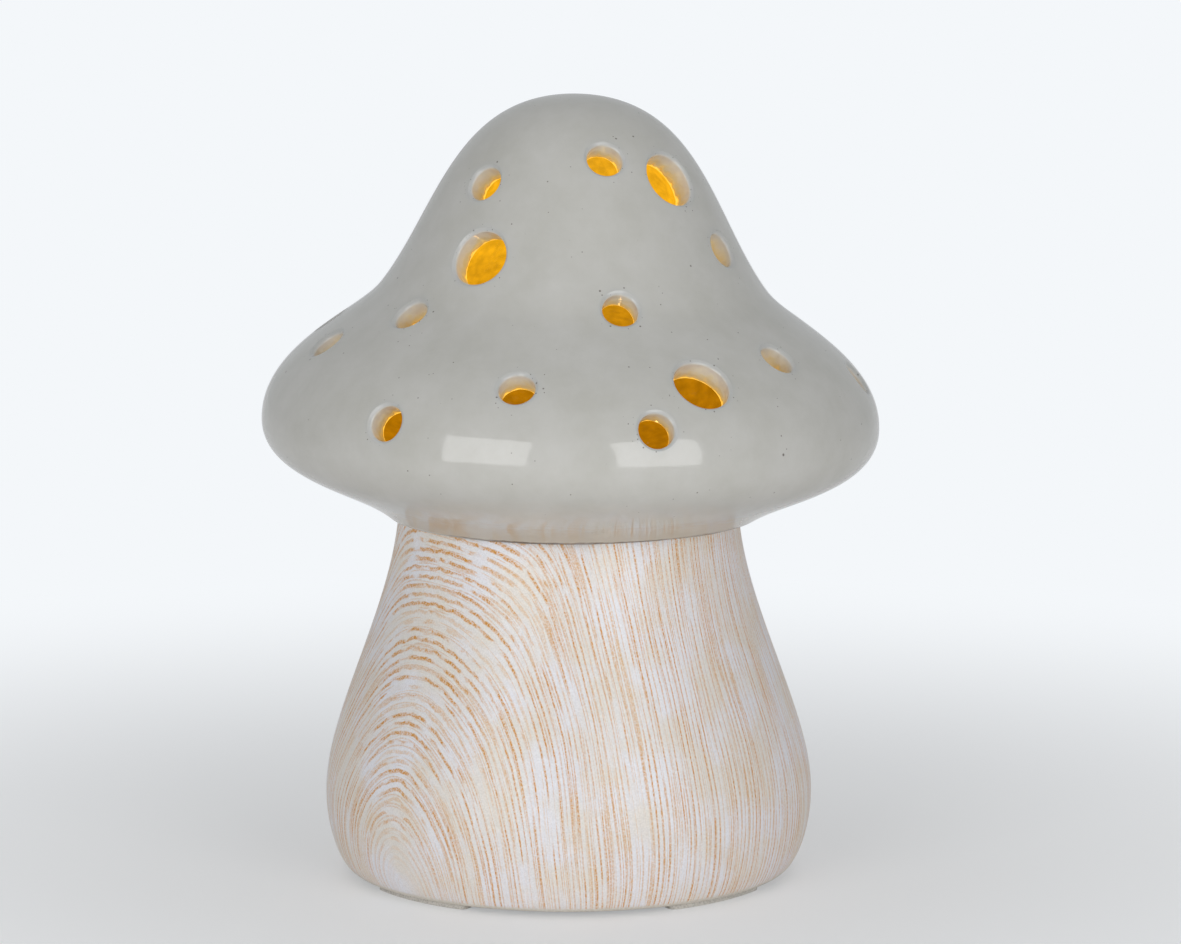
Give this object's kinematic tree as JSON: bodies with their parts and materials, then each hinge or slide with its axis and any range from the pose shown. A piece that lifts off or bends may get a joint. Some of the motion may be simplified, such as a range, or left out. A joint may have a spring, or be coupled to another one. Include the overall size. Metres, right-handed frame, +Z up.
{
  "type": "mushroom light",
  "caption": "Battery mushroom light: pierced glazed ceramic cap bonded to a wood-print ceramic stem, with a light module, timer switch and battery door in its foot.",
  "frame": {"origin": "middle of the underside of the foot pads, on the surface that the light stands on", "axes": "+Z up the stem, -Y towards the front, +X to the right seen from the front"},
  "size_m": [0.1119, 0.112, 0.1422],
  "materials": {
    "glaze": "glossy pale grey-green speckled glaze, amber inside",
    "printed_ceramic": "satin wood-grain print on a white ground",
    "bond": "cured adhesive bead",
    "foam": "closed-cell foam",
    "white_plastic": "moulded with a fine spark texture",
    "screw_steel": "zinc plated",
    "nickel_plate": "nickel plated strip and wire",
    "cell_jacket": "plain printed jacket",
    "board": "solder-masked glass laminate",
    "black_plastic": "moulded",
    "lamp_epoxy": "clear amber epoxy",
    "red_sheath": "extruded wire sheath",
    "black_sheath": "extruded wire sheath"
  },
  "bodies": {
    "lamp": {"cap_shell": "glaze", "bond_ring": "bond", "stem_shell": "printed_ceramic", "foot_pad_1": "foam", "foot_pad_2": "foam", "foot_pad_3": "foam", "foot_pad_4": "foam", "module_housing": "white_plastic", "module_gasket": "foam", "module_cover": "white_plastic", "cover_screw_1": "screw_steel", "cover_screw_2": "screw_steel", "cover_screw_3": "screw_steel", "battery_1": "cell_jacket", "battery_2": "cell_jacket", "positive_contact": "nickel_plate", "negative_contact": "nickel_plate", "bridge_contact": "nickel_plate", "bridge_spring": "nickel_plate", "negative_spring": "nickel_plate", "circuit_board": "board", "timer_chip": "black_plastic", "resistor": "black_plastic", "timer_crystal": "nickel_plate", "switch_body": "screw_steel", "led_lamp": "lamp_epoxy", "lamp_wire_red": "red_sheath", "lamp_wire_black": "black_sheath", "battery_wire_red": "red_sheath", "battery_wire_black": "black_sheath"},
    "door": {"battery_door": "white_plastic"},
    "screw": {"door_screw": "screw_steel"},
    "slider": {"switch_slider": "black_plastic"}
  },
  "joints": [
    {"name": "door_hinge", "type": "hinge", "parent": "lamp", "child": "door", "pos_m": [0, -0.0142, 0.0029], "axis": [-1, 0, 0], "range_deg": [0, 85]},
    {"name": "screw_turn", "type": "hinge", "parent": "door", "child": "screw", "pos_m": [0, 0.0151, 0.0029], "axis": [0, 0, 1], "continuous": true},
    {"name": "switch_slide", "type": "slide", "parent": "lamp", "child": "slider", "axis": [1, 0, 0], "range_m": [0, 0.004]}
  ]
}
